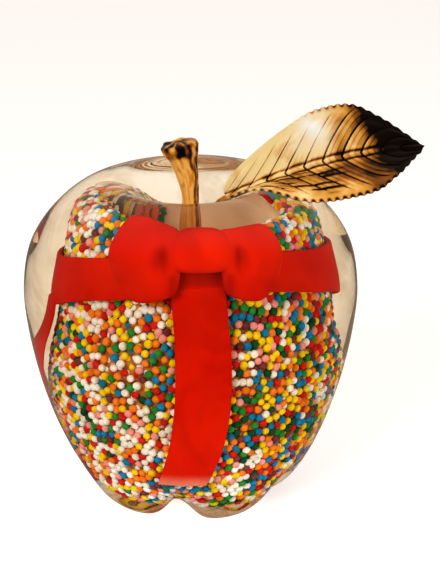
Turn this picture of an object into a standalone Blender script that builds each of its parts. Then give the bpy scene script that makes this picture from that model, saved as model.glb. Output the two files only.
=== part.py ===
"""Clear toffee apple: a lobed apple of clear boiled sugar round a sprinkle-coated parcel.

The parcel is tied with a ribbon band, three ribbon strips and a bow, and the apple carries
a gilt stem and a gilt leaf. Metres, +Z up. The apple stands on z = 0 on its five lobes and
its front faces -Y. The leaf reaches out to +X, so the apple's own axis stands left of the
origin, which is the middle of the whole footprint.
"""

import bpy
import bmesh
import math
from mathutils import Vector

MM = 0.001
GAP = 0.3 * MM                    # clearance between pieces that touch on the real thing

# Whole object
AXIS_X = -7.52 * MM               # apple's axis, seen from the middle of the footprint

# Clear sugar shell: radius and height of its outline, top centre to bottom centre
SHELL_OUTLINE = [
    (0.0, 66.5), (3.0, 67.2), (7.0, 71.2), (12.0, 76.2), (18.6, 79.3), (25.6, 77.7),
    (32.8, 72.1), (38.2, 64.0), (40.0, 54.0), (39.3, 44.5), (36.6, 31.5), (32.6, 19.5),
    (27.7, 9.0), (23.0, 2.7), (18.3, -0.3), (14.8, -0.3), (11.0, 2.2), (6.0, 7.0), (0.0, 9.0),
]
SHELL_STEPS = 45
LOBES = 5
LOBE_TURN = math.radians(-9.5)    # the cleft nearest the front stands left of it
LOBE_TOP = 22 * MM                # the lobes fade out at this height
LOBE_DEPTH = 0.045                # share of the radius
CLEFT_TOP = 14 * MM
CLEFT_RISE = 5 * MM
CLEFT_RADIUS = 12 * MM
BORE_RADIUS = 2.4 * MM            # hole for the stem, through the floor of the dimple
BORE_TOP = 74 * MM
BORE_BOTTOM = 50 * MM
BORE_TURN = math.radians(3)

# Sprinkle-coated parcel inside
PARCEL_OUTLINE = [
    (0.0, 52.0), (6.0, 52.4), (11.0, 55.5), (15.5, 62.8), (19.0, 67.4), (22.6, 69.3),
    (25.4, 68.2), (26.2, 65.0), (26.2, 60.6), (26.1, 55.5), (26.2, 46.6), (27.1, 40.0),
    (27.4, 28.0), (26.2, 17.5), (23.0, 8.8), (16.5, 4.4), (7.0, 10.6), (0.0, 12.2),
]
PARCEL_RADIUS = 26.2 * MM         # under the ribbon band
PARCEL_STEPS = 36
PARCEL_SHIFT = 0.95 * MM          # the parcel sits a little right of the apple's axis
PARCEL_LEAN = 0.27                # its upper half leans: rise towards the front per metre
LEAN_START = 22 * MM
LEAN_FULL = 52 * MM
NOTCH_DEPTH = 5.0 * MM            # the bow lies in a dip in the front of the rim
NOTCH_HEIGHTS = (59 * MM, 69 * MM)
NOTCH_REACH = (4 * MM, 16 * MM)
NOTCH_WIDTHS = (9 * MM, 18 * MM)
SHOULDER_RISE = 2.2 * MM          # the rim stands higher on the left
SHOULDER_HEIGHTS = (60 * MM, 68 * MM)
SHOULDER_REACH = (6 * MM, 22 * MM)

# Room for the parcel and its ribbon in the clear sugar
CAVITY_CLEARANCE = 1.0 * MM       # over, under and in the dip
CAVITY_SIDE_CLEARANCE = 1.2 * MM  # more round the side, for the band
CAVITY_SWELL = 2.6 * MM           # and more again where the side ribbons stand off
CAVITY_MIDDLE = 38 * MM
CAVITY_HALF = 27 * MM
CAVITY_SIDE = (18 * MM, 24 * MM)  # radii between which the side's clearance grows
CAVITY_END = (26 * MM, 33 * MM)   # heights off the middle where it fades out
CAVITY_STEPS = 30

# Ribbon
RIBBON_THICK = 1.0 * MM
BAND_HEIGHT = 54.8 * MM
BAND_LEAN = 0.36                  # it lies a little steeper than the parcel's own lean
BAND_WIDTH = 9.2 * MM
BAND_ROLL = 0.045                 # the band rises towards the right
BAND_STEPS = 44
BAND_CROWN = 0.15 * MM
RIBBON_EDGE = 0.35 * MM           # rounding of the band's edges
RIBBON_GAP = GAP + 0.1 * MM       # between the parcel and the ribbon
STRIP_FOOT = 13.0 * MM
# name, angle from the front in degrees, width, sideways sway, stand-off at mid height
STRIPS = [
    ("ribbon_front", 1.8, 11.4, 1.0, 0.0),
    ("ribbon_right", 152.0, 9.5, 0.0, 0.4),
    ("ribbon_left", -98.0, 9.5, 0.0, 2.4),
]
SWAY_OUT = 1.6                    # a swaying strip bows to the right on its way down
SWAY_TURN = 0.9 * math.pi
SWAY_BACK = 4.2                   # and then swings to the left
STRIP_ROWS = 14
STRIP_COLUMNS = 2

# Bow, laid round the front of the parcel
BOW_OUT = 1.9 * MM                # from the parcel's wall to the back of the bow
BOW_Z = 67.7 * MM
BOW_HALF_HEIGHT = 8.9 * MM
BOW_WAIST = 6.4 * MM              # half height of a loop at the knot
BOW_HALF_DEPTH = 2.4 * MM
BOW_DRAPE = 6.0 * MM              # the bow's upper edge falls back towards the parcel
BOW_LEFT_END = -17.2 * MM         # distances round the parcel from its front
BOW_RIGHT_END = 18.3 * MM
LOOP_ROUNDING = 0.16              # share of a loop's length that rounds off its near end
LOOP_FULL = 0.52                  # its far end closes from here on
LOOP_SWELL = 0.6                  # its greatest height is here
LOOP_THIN = 0.62                  # share of its thickness at the knot
LOOP_SQUARE = 1.3                 # its upper far corner is squarer than the lower one
KNOT_FROM = -4.4 * MM
KNOT_TO = 7.5 * MM
KNOT_Z = 71.0 * MM
KNOT_HALF_HEIGHT = 4.5 * MM
KNOT_HALF_DEPTH = 2.2 * MM
KNOT_ROUNDING = 0.28              # share of the knot's size
POCKET_MARGIN = 0.5 * MM          # room round the bow in the clear sugar
POCKET_NEAR = 1.5 * MM            # the loops' rooms start behind the knot

# Stem: radius and height of its outline, cap to root
STEM_OUTLINE = [
    (0.0, 88.9), (2.4, 88.7), (3.9, 88.3), (4.3, 87.4), (4.1, 86.3), (3.5, 85.0), (3.0, 82.8),
    (2.5, 79.8), (2.0, 76.0), (1.95, 73.0), (2.05, 70.0), (2.0, 66.0), (1.9, 61.5), (0.0, 61.3),
]
STEM_STEPS = 16
STEM_LEAN = -3.63 * MM            # sideways lean, whole just over the cap
STEM_LEAN_HEIGHTS = (74 * MM, 95 * MM)
STEM_RIBS = 5
STEM_RIB_DEPTH = 0.05             # share of the radius
STEM_RIB_PHASE = 1.0
STEM_RIB_HEIGHTS = (74 * MM, 78 * MM)
CAP_SLANT = 0.20                  # the cap slopes down to the left
CAP_FROM = 84 * MM
CAP_FULL = 86.5 * MM

# Leaf, in its own frame: X along the midrib, Y across, Z out of its upper face
LEAF_LENGTH = 48.0 * MM
LEAF_HALF_WIDTH = 12.9 * MM
LEAF_OUTLINE = [                  # share of the length, share of the half width
    (0.0, 0.20), (0.05, 0.38), (0.12, 0.51), (0.25, 0.70), (0.38, 0.86), (0.52, 1.0),
    (0.68, 0.99), (0.82, 0.67), (0.93, 0.27), (1.0, 0.0),
]
LEAF_THICK = 0.9 * MM
LEAF_ARCH = 4.7 * MM
LEAF_FOLD = math.radians(13.5)    # each half rises from the midrib
LEAF_CURL = math.radians(48.0)    # the near half curls up further at the leaf's base
LEAF_NARROW = 0.15                # and is this much narrower there
CURL_FROM = 0.05                  # shares of the length
CURL_TO = 0.42
LEAF_BASE = Vector((8.5, -6.5, 76.9)) * MM
LEAF_BANK = math.radians(40.0)
LEAF_RISE = math.radians(13.8)
LEAF_TURN = math.radians(4.7)
LEAF_ROWS = 26
LEAF_COLUMNS = 8
STALK_RADIUS = 0.85 * MM
STALK_FOOT = Vector((5.1, 0.2, 64.8)) * MM
STALK_STEPS = [                   # the stalk's way up and out of the dimple, from its foot
    (0.0, 0.0, 0.0), (0.0, 0.0, 3.0), (0.0, -0.2, 5.4), (0.5, -1.6, 7.9),
    (1.6, -3.9, 10.3), (2.8, -5.9, 11.8),
]
POCKET_TOP = 71 * MM


def clear_scene():
    for item in list(bpy.data.objects):
        bpy.data.objects.remove(item)


def smooth_step(value, low, high):
    t = min(1.0, max(0.0, (value - low) / (high - low)))
    return t * t * (3.0 - 2.0 * t)


def smooth_outline(points, per_span, scale=MM):
    """Points along a centripetal Catmull-Rom curve through the given ones."""
    rows = [Vector((a, b, 0.0)) * scale for a, b in points]
    rows = [2 * rows[0] - rows[1]] + rows + [2 * rows[-1] - rows[-2]]
    curve = []
    for a, b, c, d in zip(rows, rows[1:], rows[2:], rows[3:]):
        t0 = 0.0
        t1 = t0 + (b - a).length ** 0.5
        t2 = t1 + (c - b).length ** 0.5
        t3 = t2 + (d - c).length ** 0.5
        for step in range(per_span):
            t = t1 + (t2 - t1) * step / per_span
            ab = a.lerp(b, (t - t0) / (t1 - t0))
            bc = b.lerp(c, (t - t1) / (t2 - t1))
            cd = c.lerp(d, (t - t2) / (t3 - t2))
            abc = ab.lerp(bc, (t - t0) / (t2 - t0))
            bcd = bc.lerp(cd, (t - t1) / (t3 - t1))
            curve.append(abc.lerp(bcd, (t - t1) / (t2 - t1)))
    curve.append(rows[-2])
    return [(point.x, point.y) for point in curve]


def read_curve(curve, place):
    """Value of a curve, given as (place, value) rows in order, at one place."""
    for (a, low), (b, high) in zip(curve, curve[1:]):
        if a <= place <= b:
            return low + (high - low) * (place - a) / (b - a)
    return curve[-1][1]


def make_material(name, colour, roughness, metallic=0.0, transmission=0.0):
    material = bpy.data.materials.new(name)
    material.use_nodes = True
    shader = material.node_tree.nodes["Principled BSDF"]
    shader.inputs["Base Color"].default_value = (*colour, 1.0)
    shader.inputs["Roughness"].default_value = roughness
    shader.inputs["Metallic"].default_value = metallic
    shader.inputs["Transmission Weight"].default_value = transmission
    material.diffuse_color = (*colour, 1.0)
    return material


def new_collection(name):
    collection = bpy.data.collections.new(name)
    bpy.context.scene.collection.children.link(collection)
    return collection


def settle(piece, name, collection, axis, material=None):
    """Name a piece, move it to its collection and hang it on the apple's axis."""
    piece.name = name
    piece.data.name = name
    for owner in list(piece.users_collection):
        owner.objects.unlink(piece)
    collection.objects.link(piece)
    piece.parent = axis
    if material:
        piece.data.materials.clear()
        piece.data.materials.append(material)
    return piece


def evaluated_mesh(piece):
    """The piece's mesh with its modifiers, as a mesh of its own."""
    bpy.context.view_layer.update()
    graph = bpy.context.evaluated_depsgraph_get()
    return bpy.data.meshes.new_from_object(piece.evaluated_get(graph))


def turned(outline, steps, reshape, closed=False):
    """Turn an outline that runs top to bottom, then move its points by a rule."""
    count = len(outline)
    edges = [(i, i + 1) for i in range(count - 1)]
    if closed:
        edges.append((count - 1, 0))
    profile = bpy.data.meshes.new("profile")
    profile.from_pydata([(radius, 0.0, height) for radius, height in outline], edges, [])
    blank = bpy.data.objects.new("blank", profile)
    bpy.context.scene.collection.objects.link(blank)
    screw = blank.modifiers.new("turn", "SCREW")
    screw.steps = steps
    screw.render_steps = steps
    screw.use_merge_vertices = True
    screw.merge_threshold = 0.00001
    mesh = evaluated_mesh(blank)
    bpy.data.objects.remove(blank)
    for vertex in mesh.vertices:
        vertex.co = reshape(vertex.co.copy())
    mesh.shade_smooth()
    mesh.set_sharp_from_angle(angle=math.radians(40))
    piece = bpy.data.objects.new("turned", mesh)
    bpy.context.scene.collection.objects.link(piece)
    return piece


def cut(piece, cutter, operation="DIFFERENCE"):
    """Boolean one piece with another, which becomes a hidden guide."""
    boolean = piece.modifiers.new(operation.lower(), "BOOLEAN")
    boolean.operation = operation
    boolean.solver = "EXACT"
    boolean.object = cutter
    cutter.hide_render = True
    cutter.display_type = "WIRE"


# ---------------------------------------------------------------- the clear shell

def lobed(point):
    """Pull the foot of the apple into five lobes with clefts between them."""
    angle = math.atan2(point.y, point.x) + math.pi / 2 - LOBE_TURN
    cleft = math.cos(LOBES * angle)
    radius = math.hypot(point.x, point.y)
    fade = min(1.0, max(0.0, (LOBE_TOP - point.z) / LOBE_TOP)) ** 1.5
    low = min(1.0, max(0.0, (CLEFT_TOP - point.z) / CLEFT_TOP))
    lift = (0.5 + 0.5 * cleft) ** 3 * CLEFT_RISE * low * min(1.0, radius / CLEFT_RADIUS)
    squeeze = 1.0 - LOBE_DEPTH * cleft * fade
    height = max(0.0, point.z + lift)      # each lobe is flat where it stands
    return Vector((point.x * squeeze, point.y * squeeze, height))


def lean_at(height):
    return PARCEL_LEAN * smooth_step(height, LEAN_START, LEAN_FULL)


def leaned(point):
    """Lean the upper half of the parcel, so that its front stands higher than its back."""
    return Vector((point.x + PARCEL_SHIFT, point.y, point.z - lean_at(point.z) * point.y))


def parcelled(point):
    """The parcel's shape: lobes like the apple's, a dip for the bow, and the lean."""
    rise = (SHOULDER_RISE * smooth_step(point.z, *SHOULDER_HEIGHTS)
            * smooth_step(-point.x, *SHOULDER_REACH))
    dip = (NOTCH_DEPTH * smooth_step(point.z, *NOTCH_HEIGHTS)
           * smooth_step(-point.y, *NOTCH_REACH)
           * (1.0 - smooth_step(abs(point.x), *NOTCH_WIDTHS)))
    shape = leaned(lobed(point))
    return Vector((shape.x, shape.y, shape.z - dip + rise))


def parcel_wall():
    """(height, radius) rows of the parcel's side, from its foot to its shoulder."""
    outline = smooth_outline(PARCEL_OUTLINE, 4)
    rows = [(height, radius) for radius, height in outline if radius > PARCEL_RADIUS * 0.5]
    rows.sort()
    return rows


def on_wall(wall, along, height, out):
    """A point round the parcel's wall: along it from the front, at a height, off it."""
    radius = read_curve(wall, height) + out
    angle = along / PARCEL_RADIUS
    point = Vector((radius * math.sin(angle), -radius * math.cos(angle), height))
    return leaned(lobed(point))


def cavity_outline():
    """The parcel's outline, moved out square to itself by the clearance it needs."""
    outline = [Vector((radius, height)) for radius, height in smooth_outline(PARCEL_OUTLINE, 1)]
    rows = []
    for i, point in enumerate(outline):
        run = (outline[min(len(outline) - 1, i + 1)] - outline[max(0, i - 1)]).normalized()
        off = point.y - CAVITY_MIDDLE
        side = smooth_step(point.x, *CAVITY_SIDE) * (1.0 - smooth_step(abs(off), *CAVITY_END))
        swell = CAVITY_SWELL * max(0.0, 1.0 - (off / CAVITY_HALF) ** 2)
        room = CAVITY_CLEARANCE + (CAVITY_SIDE_CLEARANCE + swell) * side
        moved = point + Vector((-run.y, run.x)) * room
        on_axis = i == 0 or i == len(outline) - 1
        rows.append((0.0 if on_axis else max(0.0, moved.x), moved.y))
    return rows


def make_shell(parts, cutters, axis, material):
    shell = turned(smooth_outline(SHELL_OUTLINE, 2), SHELL_STEPS, lobed)
    settle(shell, "clear_shell", parts, axis, material)

    cavity = turned(cavity_outline(), CAVITY_STEPS, parcelled)
    settle(cavity, "cavity", cutters, axis)
    for name, near, far in (
            ("left_room", KNOT_FROM + POCKET_NEAR, BOW_LEFT_END - POCKET_MARGIN),
            ("right_room", KNOT_TO - POCKET_NEAR, BOW_RIGHT_END + POCKET_MARGIN)):
        room = bow_body(near, far, POCKET_MARGIN, segments=12, rings=10)
        settle(room, name, cutters, axis)
        cut(cavity, room, "UNION")
    knot_room = settle(knot_body(POCKET_MARGIN), "knot_room", cutters, axis)
    cut(cavity, knot_room, "UNION")
    cut(shell, cavity)

    bore_length = BORE_TOP - BORE_BOTTOM
    bpy.ops.mesh.primitive_cylinder_add(
        vertices=20, radius=BORE_RADIUS, depth=bore_length,
        location=(0.0, 0.0, BORE_BOTTOM + bore_length / 2),
        rotation=(0.0, 0.0, BORE_TURN))
    bore = settle(bpy.context.object, "stem_bore", cutters, axis)
    cut(shell, bore)

    pocket_foot = STALK_FOOT.z - GAP
    pocket_length = POCKET_TOP - pocket_foot
    bpy.ops.mesh.primitive_cylinder_add(
        vertices=12, radius=STALK_RADIUS + GAP, depth=pocket_length,
        location=(STALK_FOOT.x, STALK_FOOT.y, pocket_foot + pocket_length / 2))
    stalk_pocket = settle(bpy.context.object, "stalk_pocket", cutters, axis)
    cut(shell, stalk_pocket)
    return shell


def make_parcel(parts, axis, material):
    parcel = turned(smooth_outline(PARCEL_OUTLINE, 1), PARCEL_STEPS, parcelled)
    return settle(parcel, "sprinkle_core", parts, axis, material)


# ---------------------------------------------------------------- ribbon and bow

def make_band(parts, axis, material):
    """The level ribbon: a flat rounded section turned round the parcel."""
    inner = PARCEL_RADIUS + RIBBON_GAP
    outer = inner + RIBBON_THICK
    half = BAND_WIDTH / 2
    edge = RIBBON_EDGE
    section = [
        (inner, half), (outer - edge, half), (outer, half - edge), (outer + BAND_CROWN, 0.0),
        (outer, edge - half), (outer - edge, -half), (inner, -half),
    ]

    def laid(point):
        height = BAND_HEIGHT + point.z + BAND_ROLL * point.x - BAND_LEAN * point.y
        return Vector((point.x + PARCEL_SHIFT, point.y, height))

    band = turned(section, BAND_STEPS, laid, closed=True)
    return settle(band, "ribbon_band", parts, axis, material)


def make_strip(parts, axis, wall, material, name, turn, width, sway, stand_off):
    """One ribbon strip, from just under the band to the parcel's foot."""
    top = BAND_HEIGHT - BAND_WIDTH / 2 - 2.2 * GAP
    start = math.radians(turn) * PARCEL_RADIUS
    bpy.ops.mesh.primitive_grid_add(
        x_subdivisions=STRIP_COLUMNS, y_subdivisions=STRIP_ROWS, size=1.0)
    strip = settle(bpy.context.object, name, parts, axis, material)
    for vertex in strip.data.vertices:
        down = 0.5 - vertex.co.y
        drift = sway * MM * (SWAY_OUT * math.sin(SWAY_TURN * down) - SWAY_BACK * down ** 3)
        along = start + vertex.co.x * width * MM + drift
        turned_by = along / PARCEL_RADIUS
        under_band = top + PARCEL_RADIUS * (
            BAND_ROLL * math.sin(turned_by) + (BAND_LEAN - PARCEL_LEAN) * math.cos(turned_by))
        height = under_band + (STRIP_FOOT - under_band) * down
        out = RIBBON_GAP + stand_off * MM * math.sin(math.pi * down) ** 1.5
        vertex.co = on_wall(wall, along, height, out)
    mesh_data = bmesh.new()
    mesh_data.from_mesh(strip.data)
    bmesh.ops.recalc_face_normals(mesh_data, faces=mesh_data.faces)
    centre = Vector((PARCEL_SHIFT, 0.0, 35 * MM))
    outward = sum((f.normal.dot(f.calc_center_median() - centre) for f in mesh_data.faces))
    if outward < 0:
        bmesh.ops.reverse_faces(mesh_data, faces=mesh_data.faces)
    mesh_data.to_mesh(strip.data)
    mesh_data.free()
    solid = strip.modifiers.new("thickness", "SOLIDIFY")
    solid.thickness = RIBBON_THICK
    solid.offset = 1.0
    strip.data.shade_smooth()
    return strip


def bow_body(near, far, margin, segments=18, rings=12):
    """A puffy loop round the front of the parcel, pinched at the knot, larger by a margin."""
    bpy.ops.mesh.primitive_uv_sphere_add(
        segments=segments, ring_count=rings, radius=1.0, rotation=(0.0, math.pi / 2, 0.0))
    body = bpy.context.object
    bpy.ops.object.transform_apply(location=False, rotation=True, scale=False)
    for vertex in body.data.vertices:
        t = (vertex.co.x + 1.0) / 2.0
        ring = math.hypot(vertex.co.y, vertex.co.z)
        side = Vector((0.0, vertex.co.y, vertex.co.z)) / ring if ring > 1e-6 else Vector()
        near_end = math.sqrt(max(0.0, 1.0 - (1.0 - min(1.0, t / LOOP_ROUNDING)) ** 2))
        far_part = max(0.0, (t - LOOP_FULL) / (1.0 - LOOP_FULL))
        power = 2.0 + LOOP_SQUARE * max(0.0, side.z)
        closing = near_end * max(0.0, 1.0 - far_part ** power) ** (1.0 / power)
        opening = math.sin(min(1.0, t / LOOP_SWELL) * math.pi / 2)
        height = BOW_WAIST + margin + (BOW_HALF_HEIGHT - BOW_WAIST) * opening
        half_depth = BOW_HALF_DEPTH * (LOOP_THIN + (1.0 - LOOP_THIN) * opening) + margin
        rise = height * closing * side.z
        drape = BOW_DRAPE * max(0.0, rise / BOW_HALF_HEIGHT) ** 2
        out = BOW_OUT - margin + half_depth * (1.0 - closing * side.y) - drape
        along = near + (far - near) * t
        radius = PARCEL_RADIUS + out
        angle = along / PARCEL_RADIUS
        vertex.co = Vector((
            PARCEL_SHIFT + radius * math.sin(angle),
            -radius * math.cos(angle),
            BOW_Z + rise))
    mesh_data = bmesh.new()
    mesh_data.from_mesh(body.data)
    bmesh.ops.recalc_face_normals(mesh_data, faces=mesh_data.faces)
    mesh_data.to_mesh(body.data)
    mesh_data.free()
    body.data.shade_smooth()
    return body


def knot_body(margin):
    """A rounded block over the middle of the bow, larger all round by a margin."""
    bpy.ops.mesh.primitive_cube_add(size=1.0)
    knot = bpy.context.object
    length = KNOT_TO - KNOT_FROM + 2 * margin
    mesh_data = bmesh.new()
    mesh_data.from_mesh(knot.data)
    bmesh.ops.bevel(mesh_data, geom=list(mesh_data.edges), offset=KNOT_ROUNDING, segments=3,
                    profile=0.5, affect="EDGES")
    for vertex in mesh_data.verts:
        along = (KNOT_FROM + KNOT_TO) / 2 + vertex.co.x * length
        rise = vertex.co.z * 2 * (KNOT_HALF_HEIGHT + margin)
        drape = BOW_DRAPE * max(0.0, (KNOT_Z + rise - BOW_Z) / BOW_HALF_HEIGHT) ** 2
        depth = (KNOT_HALF_DEPTH + margin) * -2.0 * vertex.co.y
        radius = PARCEL_RADIUS + BOW_OUT + KNOT_HALF_DEPTH + depth - drape
        angle = along / PARCEL_RADIUS
        vertex.co = Vector((
            PARCEL_SHIFT + radius * math.sin(angle), -radius * math.cos(angle), KNOT_Z + rise))
    bmesh.ops.recalc_face_normals(mesh_data, faces=mesh_data.faces)
    mesh_data.to_mesh(knot.data)
    mesh_data.free()
    knot.data.shade_smooth()
    return knot


def make_bow(parts, axis, material):
    left = bow_body(KNOT_FROM - GAP, BOW_LEFT_END, 0.0)
    settle(left, "bow_loop_left", parts, axis, material)
    right = bow_body(KNOT_TO + GAP, BOW_RIGHT_END, 0.0)
    settle(right, "bow_loop_right", parts, axis, material)
    settle(knot_body(0.0), "bow_knot", parts, axis, material)


# ---------------------------------------------------------------- stem and leaf

def make_stem(parts, axis, material):
    def leaning(point):
        lean = STEM_LEAN * smooth_step(point.z, *STEM_LEAN_HEIGHTS)
        slant = CAP_SLANT * point.x * smooth_step(point.z, CAP_FROM, CAP_FULL)
        rib = math.sin(STEM_RIBS * math.atan2(point.y, point.x) + STEM_RIB_PHASE)
        wide = 1.0 + STEM_RIB_DEPTH * rib * smooth_step(point.z, *STEM_RIB_HEIGHTS)
        return Vector((point.x * wide + lean, point.y * wide, point.z + slant))

    stem = turned([(r * MM, z * MM) for r, z in STEM_OUTLINE], STEM_STEPS, leaning)
    return settle(stem, "stem", parts, axis, material)


def leaf_point(along, across, outline):
    """A point of the leaf's middle surface, from 0..1 along it and -1..1 across."""
    half = LEAF_HALF_WIDTH * read_curve(outline, along)
    base = 1.0 - smooth_step(along, CURL_FROM, CURL_TO) if across < 0.0 else 0.0
    reach = across * half * (1.0 - LEAF_NARROW * base)
    fold = LEAF_FOLD + LEAF_CURL * base
    arch = LEAF_ARCH * math.sin(math.pi * along ** 1.05)
    return Vector((
        along * LEAF_LENGTH, reach * math.cos(fold), arch + abs(reach) * math.sin(fold)))


def make_leaf(parts, cutters, axis, material):
    outline = smooth_outline(LEAF_OUTLINE, 6, scale=1.0)
    bpy.ops.mesh.primitive_grid_add(
        x_subdivisions=LEAF_ROWS, y_subdivisions=LEAF_COLUMNS, size=1.0)
    leaf = settle(bpy.context.object, "leaf", parts, axis, material)
    mesh_data = bmesh.new()
    mesh_data.from_mesh(leaf.data)
    for vertex in mesh_data.verts:
        vertex.co = leaf_point(vertex.co.x + 0.5, vertex.co.y * 2.0, outline)
    bmesh.ops.remove_doubles(mesh_data, verts=mesh_data.verts, dist=0.00005)
    mesh_data.to_mesh(leaf.data)
    mesh_data.free()
    leaf.location = LEAF_BASE
    leaf.rotation_euler = (LEAF_BANK, -LEAF_RISE, LEAF_TURN)
    solid = leaf.modifiers.new("thickness", "SOLIDIFY")
    solid.thickness = LEAF_THICK
    solid.offset = 0.0
    leaf.data.shade_smooth()

    bpy.context.view_layer.update()
    place = axis.matrix_world.inverted() @ leaf.matrix_world
    midrib = [place @ leaf_point(share, 0.0, outline) for share in (0.02, 0.07, 0.13)]
    route = [STALK_FOOT + Vector(step) * MM for step in STALK_STEPS] + midrib
    curve = bpy.data.curves.new("leaf_stalk", "CURVE")
    curve.dimensions = "3D"
    curve.bevel_depth = STALK_RADIUS
    curve.bevel_resolution = 2
    curve.use_fill_caps = True
    spline = curve.splines.new("POLY")
    spline.points.add(len(route) - 1)
    for point, place_at in zip(spline.points, route):
        point.co = (*place_at, 1.0)
    tube = bpy.data.objects.new("stalk_curve", curve)
    bpy.context.scene.collection.objects.link(tube)
    stalk_mesh = evaluated_mesh(tube)
    bpy.data.objects.remove(tube)
    mesh_data = bmesh.new()
    mesh_data.from_mesh(stalk_mesh)
    bmesh.ops.remove_doubles(mesh_data, verts=mesh_data.verts, dist=0.00001)
    bmesh.ops.recalc_face_normals(mesh_data, faces=mesh_data.faces)
    mesh_data.to_mesh(stalk_mesh)
    mesh_data.free()
    stalk = bpy.data.objects.new("leaf_stalk", stalk_mesh)
    settle(stalk, "leaf_stalk", cutters, axis)
    cut(leaf, stalk, "UNION")
    return leaf


def main():
    clear_scene()
    parts = new_collection("toffee_apple")
    cutters = new_collection("cutters")
    axis = bpy.data.objects.new("apple_axis", None)
    axis.location = (AXIS_X, 0.0, 0.0)
    parts.objects.link(axis)

    clear_sugar = make_material("clear_sugar", (0.95, 0.90, 0.80), 0.05, transmission=1.0)
    sprinkles = make_material("sprinkles", (0.85, 0.62, 0.40), 0.5)
    red_ribbon = make_material("red_ribbon", (0.75, 0.03, 0.01), 0.45)
    gilt = make_material("gilt", (0.80, 0.55, 0.20), 0.3, metallic=1.0)

    wall = parcel_wall()
    make_shell(parts, cutters, axis, clear_sugar)
    make_parcel(parts, axis, sprinkles)
    make_band(parts, axis, red_ribbon)
    for name, turn, width, sway, stand_off in STRIPS:
        make_strip(parts, axis, wall, red_ribbon, name, turn, width, sway, stand_off)
    make_bow(parts, axis, red_ribbon)
    make_stem(parts, axis, gilt)
    make_leaf(parts, cutters, axis, gilt)


main()
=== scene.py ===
# %% [markdown]
# # A clear toffee apple
# This sweet is an apple of clear boiled sugar. Inside it stands a little parcel, coated all
# over with round sugar sprinkles and tied with a red ribbon and a bow. A gilt stem and a gilt
# leaf grow from the dimple. We load the plain model that says where every piece is, and then
# dress it: each piece is modelled again in fine detail, in exactly the same place.

# %% Load the frame and measure it
import math

import bpy
import numpy as np
from mathutils import Matrix, Vector, noise
from mathutils.kdtree import KDTree


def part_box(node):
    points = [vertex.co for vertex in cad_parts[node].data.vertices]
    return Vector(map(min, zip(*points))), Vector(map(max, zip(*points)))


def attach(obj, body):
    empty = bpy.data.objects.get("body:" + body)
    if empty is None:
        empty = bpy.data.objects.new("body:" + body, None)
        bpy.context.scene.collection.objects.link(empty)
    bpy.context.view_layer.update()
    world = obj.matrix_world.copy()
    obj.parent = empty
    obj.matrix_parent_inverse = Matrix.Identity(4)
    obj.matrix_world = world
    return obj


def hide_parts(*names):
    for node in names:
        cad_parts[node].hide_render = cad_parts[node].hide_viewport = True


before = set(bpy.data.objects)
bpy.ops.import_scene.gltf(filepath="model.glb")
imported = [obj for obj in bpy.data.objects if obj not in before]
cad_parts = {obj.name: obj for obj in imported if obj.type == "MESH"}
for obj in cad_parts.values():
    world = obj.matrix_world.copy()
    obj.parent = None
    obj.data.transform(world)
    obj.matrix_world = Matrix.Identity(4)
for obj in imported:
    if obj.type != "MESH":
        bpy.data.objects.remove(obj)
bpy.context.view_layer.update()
MM = 0.001
WELD = 0.002 * MM
AXIS = Vector((-7.52, 0.0, 0.0)) * MM
shell_low, shell_high = (Vector(corner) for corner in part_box("clear_shell"))
print("apple", [round(1000 * side, 1) for side in shell_high - shell_low], "mm")

# %% [markdown]
# ## Small helpers
# An operator works on everything that is selected, so each new piece starts from an empty
# selection. `as_made` finishes a piece: smooth shading, its place in the mesh, the finish that
# it takes, the body it rides on and the plain nodes that it stands for.

# %% Helpers for modelling
def deselect():
    if bpy.context.object and bpy.context.object.mode != "OBJECT":
        bpy.ops.object.mode_set(mode="OBJECT")
    bpy.ops.object.select_all(action="DESELECT")


def pick(piece):
    deselect()
    piece.select_set(True)
    bpy.context.view_layer.objects.active = piece


def clean(piece):
    """Weld seams and poles, and turn every face outwards."""
    pick(piece)
    bpy.ops.object.mode_set(mode="EDIT")
    bpy.ops.mesh.select_all(action="SELECT")
    bpy.ops.mesh.remove_doubles(threshold=WELD)
    bpy.ops.mesh.normals_make_consistent(inside=False)
    bpy.ops.object.mode_set(mode="OBJECT")


def modify(piece, kind, **settings):
    """Add a modifier to the picked piece, set it and apply it."""
    modifier = piece.modifiers.new(kind.lower(), kind)
    for key, value in settings.items():
        setattr(modifier, key, value)
    bpy.ops.object.modifier_apply(modifier=modifier.name)


def join(piece, *others):
    pick(piece)
    for other in others:
        other.select_set(True)
    bpy.ops.object.join()


def as_made(piece, name, material, slot, *nodes):
    pick(piece)
    bpy.ops.object.transform_apply(location=True, rotation=True, scale=True)
    bpy.ops.object.shade_smooth()
    piece.name = name
    piece.data.name = name
    piece.data.materials.clear()
    piece.data.materials.append(material)
    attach(piece, "root")
    if nodes:
        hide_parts(*nodes)
    print(name, len(piece.data.polygons), "faces")


def within(value, low=0.0, high=1.0):
    return min(high, max(low, value))


def smooth_step(value, low, high):
    """0 up to low, 1 from high on, and a soft rise between them."""
    t = within((value - low) / (high - low))
    return t * t * (3.0 - 2.0 * t)


def hump(value, middle, width):
    """1 at the middle, and a soft fall to 0 on either side of it."""
    return math.exp(-((value - middle) / width) ** 2)


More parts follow.
